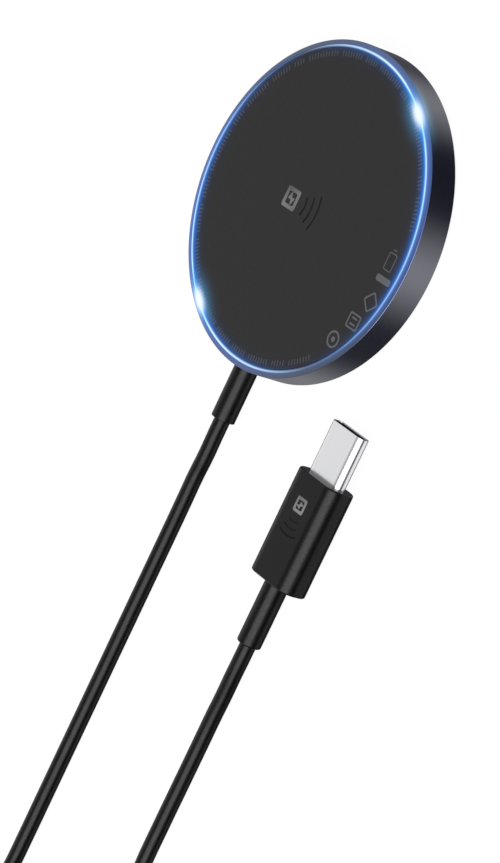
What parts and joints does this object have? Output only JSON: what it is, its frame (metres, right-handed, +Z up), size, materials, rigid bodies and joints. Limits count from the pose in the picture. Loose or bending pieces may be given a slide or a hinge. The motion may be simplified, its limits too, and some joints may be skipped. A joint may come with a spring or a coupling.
{
  "type": "wireless charging pad",
  "caption": "Slim round magnetic charging puck with a matte face, a lit ring at its metal rim, and a thin captive cord that ends in a USB-C plug.",
  "frame": {"origin": "centre of the puck's underside, on the surface it stands on", "axes": "+Z up out of the charging face; the cord leaves the puck along -Y"},
  "size_m": [0.0632, 0.1931, 0.0094],
  "materials": {
    "anodised_aluminium": "satin anodised",
    "face_coating": "matte soft-touch",
    "light_guide": "polished, lit from below",
    "black_plastic": "fine moulded grain",
    "foot_rubber": "matte",
    "adhesive_tape": "matte",
    "magnet_nickel": "nickel plated",
    "yoke_steel": "plain",
    "ferrite": "sintered",
    "copper_wire": "enamelled",
    "board_laminate": "solder mask",
    "chip_epoxy": "moulded epoxy",
    "ceramic_part": "ceramic",
    "led_lens": "clear",
    "silicone_pad": "soft",
    "core_insulation": "smooth",
    "cord_jacket": "satin",
    "tie_strap": "matte",
    "grip_plastic": "satin moulded",
    "shell_nickel": "bright nickel",
    "insulator_black": "moulded",
    "contact_gold": "gold plated",
    "spring_steel": "plain"
  },
  "bodies": {
    "root": {"housing_ring": "anodised_aluminium", "charging_face": "face_coating", "light_guide_ring": "light_guide", "base_cover": "black_plastic", "anti_slip_ring": "foot_rubber", "cover_adhesive_ring": "adhesive_tape", "face_adhesive_ring": "adhesive_tape", "magnet_segments": "magnet_nickel", "magnet_yoke": "yoke_steel", "coil_tray": "black_plastic", "ferrite_shield": "ferrite", "coil_adhesive": "adhesive_tape", "transmit_coil": "copper_wire", "coil_leads": "copper_wire", "thermistor": "chip_epoxy", "circuit_board": "board_laminate", "controller_chip": "chip_epoxy", "driver_chips": "chip_epoxy", "resonant_capacitors": "ceramic_part", "power_inductor": "ferrite", "small_passives": "ceramic_part", "edge_leds": "led_lens", "thermal_pad": "silicone_pad", "lead_wires": "core_insulation", "cord_gland": "cord_jacket", "cord_lead": "cord_jacket", "cord_coil": "cord_jacket", "cord_tail": "cord_jacket", "coil_tie": "tie_strap", "plug_overmold": "grip_plastic", "plug_strain_relief": "cord_jacket", "plug_shell": "shell_nickel", "plug_insulator": "insulator_black", "plug_contacts": "contact_gold", "plug_latches": "spring_steel", "plug_can": "spring_steel", "plug_board": "board_laminate", "plug_wires": "core_insulation"}
  },
  "joints": []
}
